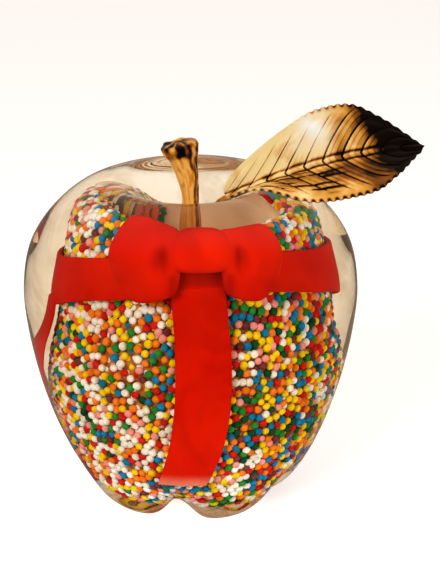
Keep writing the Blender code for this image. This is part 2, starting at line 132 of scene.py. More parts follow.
def smooth_outline(points, per_span, scale=MM):
    """Points along a centripetal Catmull-Rom curve through the given ones."""
    rows = [Vector((a, b, 0.0)) * scale for a, b in points]
    rows = [2 * rows[0] - rows[1]] + rows + [2 * rows[-1] - rows[-2]]
    curve = []
    for a, b, c, d in zip(rows, rows[1:], rows[2:], rows[3:]):
        t0 = 0.0
        t1 = t0 + (b - a).length ** 0.5
        t2 = t1 + (c - b).length ** 0.5
        t3 = t2 + (d - c).length ** 0.5
        for step in range(per_span):
            t = t1 + (t2 - t1) * step / per_span
            ab = a.lerp(b, (t - t0) / (t1 - t0))
            bc = b.lerp(c, (t - t1) / (t2 - t1))
            cd = c.lerp(d, (t - t2) / (t3 - t2))
            abc = ab.lerp(bc, (t - t0) / (t2 - t0))
            bcd = bc.lerp(cd, (t - t1) / (t3 - t1))
            curve.append(abc.lerp(bcd, (t - t1) / (t2 - t1)))
    curve.append(rows[-2])
    return [(point.x, point.y) for point in curve]


def read_curve(curve, place):
    """The curve's second number where its first one is at the place."""
    for (a, low), (b, high) in zip(curve, curve[1:]):
        if a <= place <= b:
            return low + (high - low) * (place - a) / (b - a)
    return curve[-1][1]


# %% [markdown]
# A turned piece starts as one point that is extruded along the outline, step by step, and is
# then spun round the upright axis. The spin leaves a seam and two poles, which are welded.

# %% Draw an outline and spin it
def spun(outline, steps, closed=False):
    """A piece turned from rows of radius and height."""
    deselect()
    bpy.ops.mesh.primitive_plane_add(size=MM)
    piece = bpy.context.object
    bpy.ops.object.mode_set(mode="EDIT")
    bpy.ops.mesh.merge(type="CENTER")
    points = [Vector((radius, 0.0, height)) for radius, height in outline]
    if closed:
        points.append(points[0])
    bpy.ops.transform.translate(value=points[0])
    for here, there in zip(points, points[1:]):
        bpy.ops.mesh.extrude_region_move(TRANSFORM_OT_translate={"value": there - here})
    bpy.ops.mesh.select_all(action="SELECT")
    if closed:
        bpy.ops.mesh.remove_doubles(threshold=WELD)
    bpy.ops.mesh.spin(steps=steps, angle=2 * math.pi, center=(0, 0, 0), axis=(0, 0, 1))
    bpy.ops.object.mode_set(mode="OBJECT")
    clean(piece)
    return piece


def reshape(piece, rule):
    """Move every point of a piece by one rule."""
    for vertex in piece.data.vertices:
        vertex.co = rule(vertex.co.copy())
    piece.data.update()


# %% [markdown]
# ## The camera
# The view looks a little down on the apple, with a long lens, so that its sides stay upright.

# %% Camera
CAMERA_RISE = math.radians(20)
CAMERA_DISTANCE = 0.55
CAMERA_LENS = 143.3
CAMERA_SENSOR = 36
CAMERA_AIM = AXIS + Vector((7.03, 0, 40)) * MM
AIM_RAISED = 12.12 * MM
camera_back = Vector((0, -math.cos(CAMERA_RISE), math.sin(CAMERA_RISE)))
camera_up = Vector((0, math.sin(CAMERA_RISE), math.cos(CAMERA_RISE)))
camera_target = CAMERA_AIM + camera_up * AIM_RAISED
camera_data = bpy.data.cameras.new("camera")
camera_data.lens = CAMERA_LENS
camera_data.sensor_width = CAMERA_SENSOR
camera = bpy.data.objects.new("camera", camera_data)
camera.location = camera_target + camera_back * CAMERA_DISTANCE
camera.rotation_euler = camera_back.to_track_quat("Z", "Y").to_euler()
bpy.context.scene.collection.objects.link(camera)
bpy.context.scene.camera = camera
print("camera at", [round(c, 3) for c in camera.location])

# %% [markdown]
# ## Floor and light
# Clear sugar and gilt show mostly what stands round them. A sheet of white paper is the
# floor. The room is dim on the viewer's side, so that nothing veils the colours inside the
# apple, and warm and bright high up at the back, which the gilt's edges mirror. Two soft boxes
# in front light the sweet. They are hidden from reflections, so that they leave no square
# patches of shine.

# %% Floor
def glowing_paper(name, colour, glow):
    """Matt paper that gives a little light of its own, so that it stays evenly white."""
    material = bpy.data.materials.new(name)
    material.use_nodes = True
    shader = material.node_tree.nodes["Principled BSDF"]
    shader.inputs["Base Color"].default_value = (*colour, 1)
    shader.inputs["Roughness"].default_value = 0.8
    shader.inputs["Specular IOR Level"].default_value = 0.0
    shader.inputs["Emission Color"].default_value = (*colour, 1)
    shader.inputs["Emission Strength"].default_value = glow
    return material


FLOOR_NEAR, FLOOR_FAR, FLOOR_HALF = -0.072, 0.75, 0.13
PAPER_WHITE = (0.79, 0.80, 0.825)
PAPER_GLOW = 0.58
deselect()
bpy.ops.mesh.primitive_plane_add(size=1.0, location=(0, (FLOOR_NEAR + FLOOR_FAR) / 2, 0))
floor = bpy.context.object
floor.name = "floor"
bpy.ops.object.mode_set(mode="EDIT")
bpy.ops.mesh.select_all(action="SELECT")
bpy.ops.transform.resize(value=(2 * FLOOR_HALF, FLOOR_FAR - FLOOR_NEAR, 1))
bpy.ops.object.mode_set(mode="OBJECT")
bpy.ops.object.transform_apply(location=True, rotation=True, scale=True)
floor.data.materials.append(glowing_paper("white_paper", PAPER_WHITE, PAPER_GLOW))
floor.visible_glossy = False

# %% Lights and surroundings
LIGHT_AIM = Vector((0, 0, 0.045))


def soft_light(name, place, size, power):
    """A soft box that faces the apple and leaves no square patch of shine on it."""
    data = bpy.data.lights.new(name, "AREA")
    data.shape = "RECTANGLE"
    data.size, data.size_y = size, size
    data.energy = power
    light = bpy.data.objects.new(name, data)
    light.location = place
    light.rotation_euler = (Vector(place) - LIGHT_AIM).to_track_quat("Z", "Y").to_euler()
    light.visible_glossy = False
    light.visible_transmission = False
    bpy.context.scene.collection.objects.link(light)


soft_light("key", (-0.28, -0.40, 0.28), 0.24, 2.45)
soft_light("fill", (0.38, -0.33, 0.17), 0.30, 2.1)

# Each tone stands at a share of the way from below the viewer to high up at the back.
TOWARDS_BRIGHT = (0.0, 0.80, 1.0)
ROOM_TONES = [
    (0.30, (0.06, 0.05, 0.04)), (0.60, (0.20, 0.16, 0.12)),
    (0.82, (0.22, 0.18, 0.13)), (0.95, (0.72, 0.63, 0.50)),
]
ROOM_STRENGTH = 1.25
world = bpy.data.worlds.new("surroundings")
bpy.context.scene.world = world
world.use_nodes = True
tree = world.node_tree
coords = tree.nodes.new("ShaderNodeTexCoord")
upwards = tree.nodes.new("ShaderNodeVectorMath")
upwards.operation = "DOT_PRODUCT"
upwards.inputs[1].default_value = TOWARDS_BRIGHT
shift = tree.nodes.new("ShaderNodeMapRange")
ramp = tree.nodes.new("ShaderNodeValToRGB")
shift.inputs["From Min"].default_value = -1.0
tree.links.new(coords.outputs["Generated"], upwards.inputs[0])
tree.links.new(upwards.outputs["Value"], shift.inputs["Value"])
tree.links.new(shift.outputs["Result"], ramp.inputs["Fac"])
tree.links.new(ramp.outputs["Color"], tree.nodes["Background"].inputs["Color"])
for _ in ROOM_TONES[2:]:
    ramp.color_ramp.elements.new(0.5)
for element, (place, tone) in zip(ramp.color_ramp.elements, ROOM_TONES):
    element.position = place
    element.color = (*tone, 1)
tree.nodes["Background"].inputs["Strength"].default_value = ROOM_STRENGTH
bpy.context.scene.view_settings.view_transform = "Standard"

# %% [markdown]
# ## Finishes
# Each finish is a small set of shader nodes: a colour that varies a little, a roughness that
# varies with it, and a fine bump. `Finish` makes the common start, and each function after it
# adds what is particular. Where a finish changes over a piece, as patina does in a groove, the
# piece keeps a number on every point, and the finish reads it.

# %% Helpers for finishes
def srgb(red, green, blue):
    """A colour picked on a 0 to 255 screen scale, as the linear value a shader needs."""
    def linear(value):
        value /= 255.0
        return value / 12.92 if value <= 0.04045 else ((value + 0.055) / 1.055) ** 2.4
    return (linear(red), linear(green), linear(blue), 1.0)


# The two colour inputs of a mix node, which other inputs share their names with.
MIX_FROM, MIX_TO = 6, 7
MIX_RESULT = 2


class Finish:
    """A material with its node tree at hand."""

    def __init__(self, name):
        self.material = bpy.data.materials.new(name)
        self.material.use_nodes = True
        self.tree = self.material.node_tree
        self.shader = self.tree.nodes["Principled BSDF"]
        self.output = self.tree.nodes["Material Output"]
        self.coords = self.node("ShaderNodeTexCoord")

    def node(self, kind, **settings):
        made = self.tree.nodes.new(kind)
        for key, value in settings.items():
            setattr(made, key, value)
        return made

    def link(self, start, end):
        self.tree.links.new(start, end)

    def own_value(self, name):
        """A number that the piece keeps on every point."""
        return self.node("ShaderNodeAttribute", attribute_name=name).outputs["Fac"]

    def noise(self, scale, detail=3.0, distortion=0.0):
        made = self.node("ShaderNodeTexNoise")
        made.inputs["Scale"].default_value = scale
        made.inputs["Detail"].default_value = detail
        made.inputs["Distortion"].default_value = distortion
        self.link(self.coords.outputs["Object"], made.inputs["Vector"])
        return made.outputs["Fac"]

    def ramp(self, source, stops):
        """Colours at places between 0 and 1, and what lies between them."""
        made = self.node("ShaderNodeValToRGB")
        while len(made.color_ramp.elements) < len(stops):
            made.color_ramp.elements.new(0.5)
        for element, (place, colour) in zip(made.color_ramp.elements, stops):
            element.position = place
            element.color = colour
        self.link(source, made.inputs["Fac"])
        return made.outputs["Color"]

    def blended(self, colour, name, tone):
        """The colour, and the tone where the piece's own value of that name is 1."""
        made = self.node("ShaderNodeMix", data_type="RGBA")
        self.link(colour, made.inputs[MIX_FROM])
        if isinstance(tone, tuple):
            made.inputs[MIX_TO].default_value = tone
        else:
            self.link(tone, made.inputs[MIX_TO])
        self.link(self.own_value(name), made.inputs["Factor"])
        return made.outputs[MIX_RESULT]

    def spread(self, source, low, high, start=0.0, end=1.0):
        """A value from start to end, spread out from low to high."""
        made = self.node("ShaderNodeMapRange")
        made.inputs["From Min"].default_value = start
        made.inputs["From Max"].default_value = end
        made.inputs["To Min"].default_value = low
        made.inputs["To Max"].default_value = high
        self.link(source, made.inputs["Value"])
        return made.outputs["Result"]

    def bump(self, source, height, strength=1.0, normal=None):
        made = self.node("ShaderNodeBump")
        made.inputs["Distance"].default_value = height
        made.inputs["Strength"].default_value = strength
        self.link(source, made.inputs["Height"])
        if normal:
            self.link(normal, made.inputs["Normal"])
        self.link(made.outputs["Normal"], self.shader.inputs["Normal"])
        return made.outputs["Normal"]


# %% Clear boiled sugar
CLEAR_IOR = 1.25
CLEAR_TONE = (1.0, 0.99, 0.97, 1)
STREAK_AND_SHADE_TONE = (0.74, 0.66, 0.55, 1)
DEEP_TONE = (0.78, 0.60, 0.30, 1)
DEEP_DENSITY = 20.0


def make_clear_sugar():
    """Clear all through, a little browner where it is thick, with faint swirled streaks."""
    finish = Finish("clear_sugar")
    shader = finish.shader
    shader.inputs["Transmission Weight"].default_value = 1.0
    shader.inputs["IOR"].default_value = CLEAR_IOR
    shader.inputs["Roughness"].default_value = 0.0
    # The darker streaks are partly the sugar's own striae and partly a painted shade of the room
    # seen through it.
    streaks = finish.noise(30.0, distortion=3.0)
    finish.link(finish.ramp(streaks, [(0.38, STREAK_AND_SHADE_TONE), (0.52, CLEAR_TONE)]),
                shader.inputs["Base Color"])
    swell = finish.bump(finish.noise(34.0, detail=1.0, distortion=0.8), 1.1 * MM, 0.35)
    finish.bump(finish.noise(90.0, detail=2.0), 0.05 * MM, 0.35, swell)
    absorb = finish.node("ShaderNodeVolumeAbsorption")
    absorb.inputs["Color"].default_value = DEEP_TONE
    absorb.inputs["Density"].default_value = DEEP_DENSITY
    finish.link(absorb.outputs["Volume"], finish.output.inputs["Volume"])
    # Light reaches the parcel straight through the sugar, which would else keep it dark.
    light_path = finish.node("ShaderNodeLightPath")
    through = finish.node("ShaderNodeBsdfTransparent")
    mix = finish.node("ShaderNodeMixShader")
    finish.link(light_path.outputs["Is Shadow Ray"], mix.inputs[0])
    finish.link(shader.outputs["BSDF"], mix.inputs[1])
    finish.link(through.outputs["BSDF"], mix.inputs[2])
    finish.link(mix.outputs["Shader"], finish.output.inputs["Surface"])
    return finish.material


clear_sugar = make_clear_sugar()

# %% [markdown]
# What is cast inside the sugar shines much less than it would in air, because the sugar bends
# light nearly as strongly as the pearls and the ribbon do. Their finishes say so with a low
# index of refraction, which stands for the ratio of the two.

# %% Sprinkles and the parcel under them
INSIDE_IOR = 1.07
# Each colour, and its share of the pearls.
SPRINKLE_COLOURS = {
    "white": (srgb(255, 250, 238), 0.32),
    "yellow": (srgb(255, 212, 12), 0.16),
    "orange": (srgb(250, 128, 24), 0.15),
    "pink": (srgb(244, 156, 150), 0.09),
    "red": (srgb(208, 26, 16), 0.10),
    "blue": (srgb(6, 128, 182), 0.09),
    "green": (srgb(36, 136, 48), 0.07),
    "dark_green": (srgb(14, 74, 40), 0.03),
    "plum": (srgb(120, 50, 52), 0.035),
}
# Painted light: the bare paste glows a little, so that it does not look shaded inside the sugar.
BARE_GLOW = 0.18


def make_sprinkle(name, colour):
    finish = Finish("sprinkle_" + name)
    shade = finish.noise(700.0, detail=2.0)
    dark = tuple(0.80 * c for c in colour[:3]) + (1.0,)
    light = tuple(min(1.0, 1.08 * c + 0.01) for c in colour[:3]) + (1.0,)
    finish.link(finish.ramp(shade, [(0.3, dark), (0.65, light)]),
                finish.shader.inputs["Base Color"])
    finish.link(finish.spread(shade, 0.38, 0.6), finish.shader.inputs["Roughness"])
    finish.shader.inputs["IOR"].default_value = INSIDE_IOR
    finish.bump(finish.noise(5200.0, detail=1.0), 0.03 * MM, 0.5)
    return finish.material


def make_parcel_skin():
    """Cream sugar paste where it is bare, with a faint painted glow, and painted shade of pearls
    everywhere else.
    """
    finish = Finish("parcel_skin")
    cells = finish.node("ShaderNodeTexVoronoi")
    cells.inputs["Scale"].default_value = 520.0
    finish.link(finish.coords.outputs["Object"], cells.inputs["Vector"])
    painted_gap_shade = finish.ramp(cells.outputs["Distance"], [
        (0.1, srgb(206, 128, 62)), (0.8, srgb(120, 58, 24))])
    cloud = finish.noise(120.0)
    cream = finish.ramp(cloud, [
        (0.3, srgb(226, 192, 164)), (0.7, srgb(244, 220, 198))])
    finish.link(finish.blended(painted_gap_shade, "bare", cream), finish.shader.inputs["Base Color"])
    # Painted light: the bare paste glows in its own cream.
    finish.link(cream, finish.shader.inputs["Emission Color"])
    finish.link(finish.spread(finish.own_value("bare"), 0.0, BARE_GLOW),
                finish.shader.inputs["Emission Strength"])
    finish.shader.inputs["Roughness"].default_value = 0.7
    finish.shader.inputs["IOR"].default_value = INSIDE_IOR
    finish.bump(cloud, 0.15 * MM, 0.5)
    return finish.material


sprinkle_finishes = {name: make_sprinkle(name, colour)
                     for name, (colour, _) in SPRINKLE_COLOURS.items()}
parcel_skin = make_parcel_skin()

# %% Red sugar ribbon
def make_red_ribbon():
    """Red sugar paste: a piece's own values say where it is pale, and where shade is painted into
    a fold or under the knot.
    """
    finish = Finish("red_ribbon")
    cloud = finish.noise(60.0, detail=4.0)
    colour = finish.ramp(cloud, [(0.30, srgb(197, 13, 0)), (0.70, srgb(215, 26, 0))])
    colour = finish.blended(colour, "pale", srgb(238, 150, 118))
    # Painted shade: the red darkens in deep folds and under the knot.
    colour = finish.blended(colour, "painted_shade", srgb(120, 2, 0))
    finish.link(colour, finish.shader.inputs["Base Color"])
    finish.link(finish.spread(cloud, 0.48, 0.62), finish.shader.inputs["Roughness"])
    finish.shader.inputs["IOR"].default_value = INSIDE_IOR
    finish.bump(finish.noise(900.0), 0.05 * MM, 0.35)
    return finish.material


red_ribbon = make_red_ribbon()

# %% Gilt with patina
GILT_IOR = 1.2
PATINA_CLOUD = 0.16


def make_gilt(name, grain, metal, light, middle):
    """Gold with dark grooves: a piece's own values say where it is dark, by patina and painted
    shade, and where a highlight is painted.
    """
    finish = Finish(name)
    cloud = finish.noise(grain, detail=5.0, distortion=0.4)
    mixed = finish.node("ShaderNodeMath", operation="ADD")
    finish.link(finish.own_value("patina_and_painted_light"), mixed.inputs[0])
    finish.link(finish.spread(cloud, -PATINA_CLOUD, PATINA_CLOUD, 0.3, 0.7), mixed.inputs[1])
    colour = finish.ramp(mixed.outputs["Value"], [
        (0.06, light), (0.30, middle), (0.55, srgb(134, 74, 20)), (0.80, srgb(14, 6, 2))])
    # Painted highlight: a near-white spot where the piece's own value says so.
    colour = finish.blended(colour, "painted_highlight", srgb(255, 252, 242))
    finish.link(colour, finish.shader.inputs["Base Color"])
    finish.shader.inputs["Metallic"].default_value = metal
    finish.shader.inputs["IOR"].default_value = GILT_IOR
    finish.link(finish.spread(mixed.outputs["Value"], 0.16, 0.50),
                finish.shader.inputs["Roughness"])
    finish.bump(cloud, 0.10 * MM, 0.4)
    return finish.material


stem_gilt = make_gilt("stem_gilt", 500.0, 0.40, srgb(248, 186, 88), srgb(222, 148, 48))
leaf_gilt = make_gilt("leaf_gilt", 170.0, 0.42, srgb(252, 222, 156), srgb(222, 156, 62))
print("finishes", len(bpy.data.materials))

# %% [markdown]
# ## The clear apple
# A real one is cast in one go round the parcel. The outline is spun round the apple's axis,
# and then the foot is pulled into five lobes by one rule: a cosine wave round the axis that
# grows towards the bottom. The clear body is solid: the parcel simply stands inside it, so
# that no gap of air shows.

# %% Clear apple
SHELL_OUTLINE = [
    (0.0, 66.5), (3.0, 67.2), (7.0, 71.2), (12.0, 76.2), (18.6, 79.3), (25.6, 77.7),
    (32.8, 72.1), (38.2, 64.0), (40.0, 54.0), (39.3, 44.5), (36.6, 31.5), (32.6, 19.5),
    (27.7, 9.0), (23.0, 2.7), (18.3, -0.3), (14.8, -0.3), (11.0, 2.2), (6.0, 7.0), (0.0, 9.0),
]
LOBES = 5
LOBE_TURN = math.radians(-9.5)
LOBE_TOP = 22 * MM
LOBE_DEPTH = 0.045
CLEFT_TOP = 14 * MM
CLEFT_RISE = 5 * MM
CLEFT_RADIUS = 12 * MM


def lobed(point):
    """Pull the foot into five lobes with clefts between them."""
    angle = math.atan2(point.y, point.x) + math.pi / 2 - LOBE_TURN
    cleft = math.cos(LOBES * angle)
    radius = math.hypot(point.x, point.y)
    fade = within((LOBE_TOP - point.z) / LOBE_TOP) ** 1.5
    low = within((CLEFT_TOP - point.z) / CLEFT_TOP)
    lift = (0.5 + 0.5 * cleft) ** 3 * CLEFT_RISE * low * min(1.0, radius / CLEFT_RADIUS)
    squeeze = 1.0 - LOBE_DEPTH * cleft * fade
    return Vector((point.x * squeeze, point.y * squeeze, max(0.0, point.z + lift)))


clear_apple = spun(smooth_outline(SHELL_OUTLINE, 8), 180)
reshape(clear_apple, lambda point: AXIS + lobed(point))
as_made(clear_apple, "clear_apple", clear_sugar, "clear_sugar", "clear_shell")

# %% [markdown]
# ## The parcel
# The parcel is a squat drum with a deep dip in its top. Its upper half leans back, so that its
# front edge stands higher, and its foot has the apple's five lobes. `parcelled` bends an
# upright turned shape into that form, and the core and the sprinkles both use it. The dip, the
# place behind the bow and the underside are bare, so they show the parcel's own cream, with a
# faint painted glow.

# %% Parcel core
PARCEL_OUTLINE = [
    (0.0, 52.0), (6.0, 52.4), (11.0, 55.5), (15.5, 62.8), (19.0, 67.4), (22.6, 69.3),
    (25.4, 68.2), (26.2, 65.0), (26.2, 60.6), (26.1, 55.5), (26.2, 46.6), (27.1, 40.0),
    (27.4, 28.0), (26.2, 17.5), (23.0, 8.8), (16.5, 4.4), (7.0, 10.6), (0.0, 12.2),
]
PARCEL_RADIUS = 26.2 * MM
PARCEL_SHIFT = 0.95 * MM
PARCEL_LEAN = 0.27
LEAN_START = 22 * MM
LEAN_FULL = 52 * MM
NOTCH_DEPTH = 5.0 * MM
NOTCH_HEIGHTS = (59 * MM, 69 * MM)
NOTCH_WIDTHS = (9 * MM, 18 * MM)
SHOULDER_RISE = 2.2 * MM
SHOULDER_HEIGHTS = (60 * MM, 68 * MM)
DIP_EDGE = 17.5 * MM
DIP_EDGE_LEFT = 13.0 * MM
WALL_TOP = 68 * MM
CORE_INSET = 0.80
PEARL = 1.9 * MM


def leaned(point):
    lean = PARCEL_LEAN * smooth_step(point.z, LEAN_START, LEAN_FULL)
    return AXIS + Vector((point.x + PARCEL_SHIFT, point.y, point.z - lean * point.y))


def parcelled(point):
    """Upright turned shape to parcel: a notch behind the bow, a higher shoulder on the left."""
    dip = (NOTCH_DEPTH * smooth_step(point.z, *NOTCH_HEIGHTS)
           * smooth_step(-point.y, 4 * MM, 16 * MM)
           * (1.0 - smooth_step(abs(point.x), *NOTCH_WIDTHS)))
    rise = (SHOULDER_RISE * smooth_step(point.z, *SHOULDER_HEIGHTS)
            * smooth_step(-point.x, 6 * MM, 22 * MM))
    shape = leaned(lobed(point))
    return Vector((shape.x, shape.y, shape.z - dip + rise))


def bareness(point):
    """1 where the parcel has no sprinkles: in its dip, behind the bow and underneath."""
    radius = math.hypot(point.x, point.y)
    edge = DIP_EDGE + (DIP_EDGE_LEFT - DIP_EDGE) * smooth_step(-point.x, 0.0, 10 * MM)
    dip = (1.0 - smooth_step(radius, edge, edge + 2 * MM)) * smooth_step(
        point.z, 44 * MM, 50 * MM)
    behind_bow = (smooth_step(-point.y, 6 * MM, 12 * MM) * smooth_step(
        point.z, 61 * MM, 65 * MM) * (1.0 - smooth_step(abs(point.x), 11 * MM, 15 * MM)))
    underside = (1.0 - smooth_step(radius, 15.0 * MM, 17.0 * MM)) * (
        1.0 - smooth_step(point.z, 16 * MM, 20 * MM))
    return max(dip, behind_bow, underside)


def inset_outline(outline, depth):
    """The outline moved inwards, square to itself."""
    points = [Vector((radius, height)) for radius, height in outline]
    rows = []
    for i, point in enumerate(points):
        run = (points[min(len(points) - 1, i + 1)] - points[max(0, i - 1)]).normalized()
        moved = point + Vector((run.y, -run.x)) * depth
        on_axis = i == 0 or i == len(points) - 1
        rows.append((0.0 if on_axis else max(0.0, moved.x), moved.y))
    return rows


def store(piece, name, values):
    """Keep one number on every point of a piece, for its finish to read."""
    layer = piece.data.attributes.new(name, "FLOAT", "POINT")
    layer.data.foreach_set("value", values)


parcel_outline = smooth_outline(PARCEL_OUTLINE, 8)
parcel_wall = sorted((z, r) for r, z in parcel_outline
                     if r > 0.5 * PARCEL_RADIUS and z < WALL_TOP)
parcel_core = spun(inset_outline(parcel_outline, CORE_INSET * PEARL), 120)
bare = [bareness(vertex.co) for vertex in parcel_core.data.vertices]
reshape(parcel_core, parcelled)
store(parcel_core, "bare", bare)
as_made(parcel_core, "parcel_core", parcel_skin, "sprinkles", "sprinkle_core")


def on_parcel(along, height, out):
    """A place on the parcel's wall: so far along from the front, so high, and so far off."""
    radius = read_curve(parcel_wall, height) + out
    angle = along / PARCEL_RADIUS
    upright = Vector((radius * math.sin(angle), -radius * math.cos(angle), height))
    return leaned(lobed(upright))


# %% [markdown]
# ## The sprinkles
# Sugar pearls just under two millimetres across are pressed on by rolling, so they lie as
# close as they can. We scatter the right number of places over the upright parcel and then let
# them push each other apart until they are evenly packed. One pearl is modelled and copied to
# each place. A second layer, half a pearl deeper and with fewer faces, closes the gaps. Each
# colour becomes one piece.

# %% Pack the sprinkles
PEARL_SPACING = 0.97
CLOSE_PACKED = 0.866
PUSH_ROUNDS = 14


class TurnedSurface:
    """A turned surface that is walked by length down its outline and angle round it."""

    def __init__(self, outline):
        self.rows = np.array(outline)
        steps = np.linalg.norm(np.diff(self.rows, axis=0), axis=1)
        self.length = np.concatenate([[0.0], np.cumsum(steps)])

    def radius(self, down):
        return np.interp(down, self.length, self.rows[:, 0])

    def place(self, down, angle):
        radius = self.radius(down)
        height = np.interp(down, self.length, self.rows[:, 1])
        return np.stack([radius * np.sin(angle), -radius * np.cos(angle), height], 1)

    def frame(self, down, angle):
        """Unit directions down the outline and round it."""
        ahead = 0.2 * MM
        drop = self.place(down + ahead, angle) - self.place(down - ahead, angle)
        drop /= np.maximum(np.linalg.norm(drop, axis=1), 1e-9)[:, None]
        around = np.stack([np.cos(angle), np.sin(angle), np.zeros_like(angle)], 1)
        return drop, around


def packed_places(outline, spacing, dice):
    """Places over a turned surface, scattered by chance and then pushed evenly apart."""
    surface = TurnedSurface(outline)
    middle = (surface.length[1:] + surface.length[:-1]) / 2
    weight = surface.radius(middle) * np.diff(surface.length)
    area = 2 * math.pi * weight.sum()
    count = int(area / (CLOSE_PACKED * spacing ** 2))
    part = dice.choice(len(middle), size=count, p=weight / weight.sum())
    down = surface.length[part] + dice.random(count) * np.diff(surface.length)[part]
    angle = dice.random(count) * 2 * math.pi
    for _ in range(PUSH_ROUNDS):
        spots = surface.place(down, angle)
        tree = KDTree(count)
        for i, spot in enumerate(spots):
            tree.insert(spot, i)
        tree.balance()
        first, second = [], []
        for i, spot in enumerate(spots):
            for _, j, _ in tree.find_range(spot, spacing):
                if j != i:
                    first.append(i)
                    second.append(j)
        apart = spots[first] - spots[second]
        gap = np.maximum(np.linalg.norm(apart, axis=1), 1e-7)
        push = apart * (0.5 * (spacing - gap) / gap)[:, None]
        move = np.zeros_like(spots)
        np.add.at(move, first, push)
        drop, around = surface.frame(down, angle)
        down = np.clip(down + (move * drop).sum(1), 0.0, surface.length[-1])
        radius = np.maximum(surface.radius(down), 0.4 * MM)
        angle = angle + (move * around).sum(1) / radius
    return [Vector(spot) for spot in surface.place(down, angle)]


dice = np.random.default_rng(11)
layers = []
for label, depth in (("top", 0.50), ("low", 1.00)):
    outline = inset_outline(parcel_outline, depth * PEARL)
    places = packed_places(outline, PEARL_SPACING * PEARL, dice)
    places = [place for place in places if bareness(place) < 0.5]
    layers.append([parcelled(place) for place in places])
    print(label, "layer", len(places), "pearls")

# %% Copy the pearls
PEARL_SIZES = (0.90, 1.05)


def pearl_shape(subdivisions):
    """The corners and faces of one round pearl."""
    deselect()
    bpy.ops.mesh.primitive_ico_sphere_add(subdivisions=subdivisions, radius=1.0)
    pearl = bpy.context.object
    corners = np.array([v.co[:] for v in pearl.data.vertices])
    faces = np.array([p.vertices[:] for p in pearl.data.polygons])
    bpy.data.objects.remove(pearl)
    return corners, faces


def random_turn(dice):
    axis = Vector(dice.uniform(-1, 1, 3))
    return np.array(Matrix.Rotation(dice.uniform(0, 6.28), 3, axis))


def copies(name, shape, places, dice):
    """Many copies of one pearl as a single mesh, each a little different in size."""
    corners, faces = shape
    points = [corners @ random_turn(dice).T * PEARL / 2 * dice.uniform(*PEARL_SIZES)
              + np.array(place) for place in places]
    rows = [faces + i * len(corners) for i in range(len(places))]
    mesh = bpy.data.meshes.new(name)
    mesh.from_pydata(np.concatenate(points).tolist(), [], np.concatenate(rows).tolist())
    piece = bpy.data.objects.new(name, mesh)
    bpy.context.scene.collection.objects.link(piece)
    return piece


names = list(SPRINKLE_COLOURS)
weights = np.array([SPRINKLE_COLOURS[name][1] for name in names])
WHITE_ONE = names.index("white")
DARK_ONES = [names.index(name) for name in ("blue", "green", "dark_green", "plum")]
PATCH_SCALE = 110.0
PATCH_STRENGTH = 2.4
LEAST_SHARE = 0.2


def drawn_colour(place, dice):
    """A colour by chance: white pearls gather in patches, most on the left, dark ones between."""
    leftward = (AXIS.x - place.x) / PARCEL_RADIUS
    on_shoulder = smooth_step(place.z, 60 * MM, 67 * MM)
    patch = (noise.noise(place * PATCH_SCALE) + 0.2 * leftward
             - 0.4 * on_shoulder * max(0.0, leftward))
    share = weights.copy()
    share[WHITE_ONE] *= max(LEAST_SHARE, 1.0 + PATCH_STRENGTH * patch)
    share[DARK_ONES] *= max(LEAST_SHARE, 1.0 - PATCH_STRENGTH * patch)
    return dice.choice(len(names), p=share / share.sum())


colours = [[drawn_colour(place, dice) for place in places] for places in layers]
shapes = (pearl_shape(2), pearl_shape(1))
for number, name in enumerate(names):
    made = [copies(name, shape, [p for p, c in zip(places, colour) if c == number], dice)
            for shape, places, colour in zip(shapes, layers, colours)]
    join(*made)
    as_made(made[0], "sprinkles_" + name, sprinkle_finishes[name], "sprinkles",
            "sprinkle_core")

# %% [markdown]
# ## Ribbon and bow
# The band is a thin rounded section spun into a ring and laid on the leaning parcel. A strip
# is a flat grid bent over the wall and thickened. The bow's loops are spheres that one rule
# squeezes at the knot, swells outwards and drapes back at the top. Sugar paste is soft, so
# the loops and the knot are then melted into one body by a remesh and smoothed. Where a fold
# lies deep, and on the band under the knot, the piece keeps a number that paints shade there,
# darkening the red.

# %% Ribbon band
RIBBON_THICK = 1.0 * MM
RIBBON_GAP = 0.4 * MM
BAND_HEIGHT = 54.8 * MM
BAND_LEAN = 0.36
BAND_WIDTH = 9.2 * MM
BAND_ROLL = 0.045
RIBBON_CROWN = 0.15 * MM
EDGE_STEPS = 8
UNDER_KNOT_DARK = 0.62


def band_section():
    """A flat section with round edges, top to bottom."""
    inner = PARCEL_RADIUS + RIBBON_GAP
    outer = inner + RIBBON_THICK
    half = BAND_WIDTH / 2
    round_edge = RIBBON_THICK / 2
    rows = []
    for step in range(EDGE_STEPS + 1):
        turn = math.pi * step / EDGE_STEPS
        rows.append((inner + round_edge * (1 - math.cos(turn)),
                     half - round_edge + round_edge * math.sin(turn)))
    for step in range(1, EDGE_STEPS):
        share = step / EDGE_STEPS
        rows.append((outer + RIBBON_CROWN * math.sin(math.pi * share),
                     (half - round_edge) * (1 - 2 * share)))
    for step in range(EDGE_STEPS + 1):
        turn = math.pi * step / EDGE_STEPS
        rows.append((inner + round_edge * (1 + math.cos(turn)),
                     -half + round_edge - round_edge * math.sin(turn)))
    return rows


def laid_band(point):
    """The upright ring leaned back, rolled a little and laid round the parcel."""
    wave = 0.12 * MM * math.sin(7 * math.atan2(point.y, point.x) + 1.0)
    height = BAND_HEIGHT + point.z + BAND_ROLL * point.x - BAND_LEAN * point.y + wave
    return AXIS + Vector((point.x + PARCEL_SHIFT, point.y, height))


ribbon_band = spun(band_section(), 192, closed=True)
reshape(ribbon_band, laid_band)
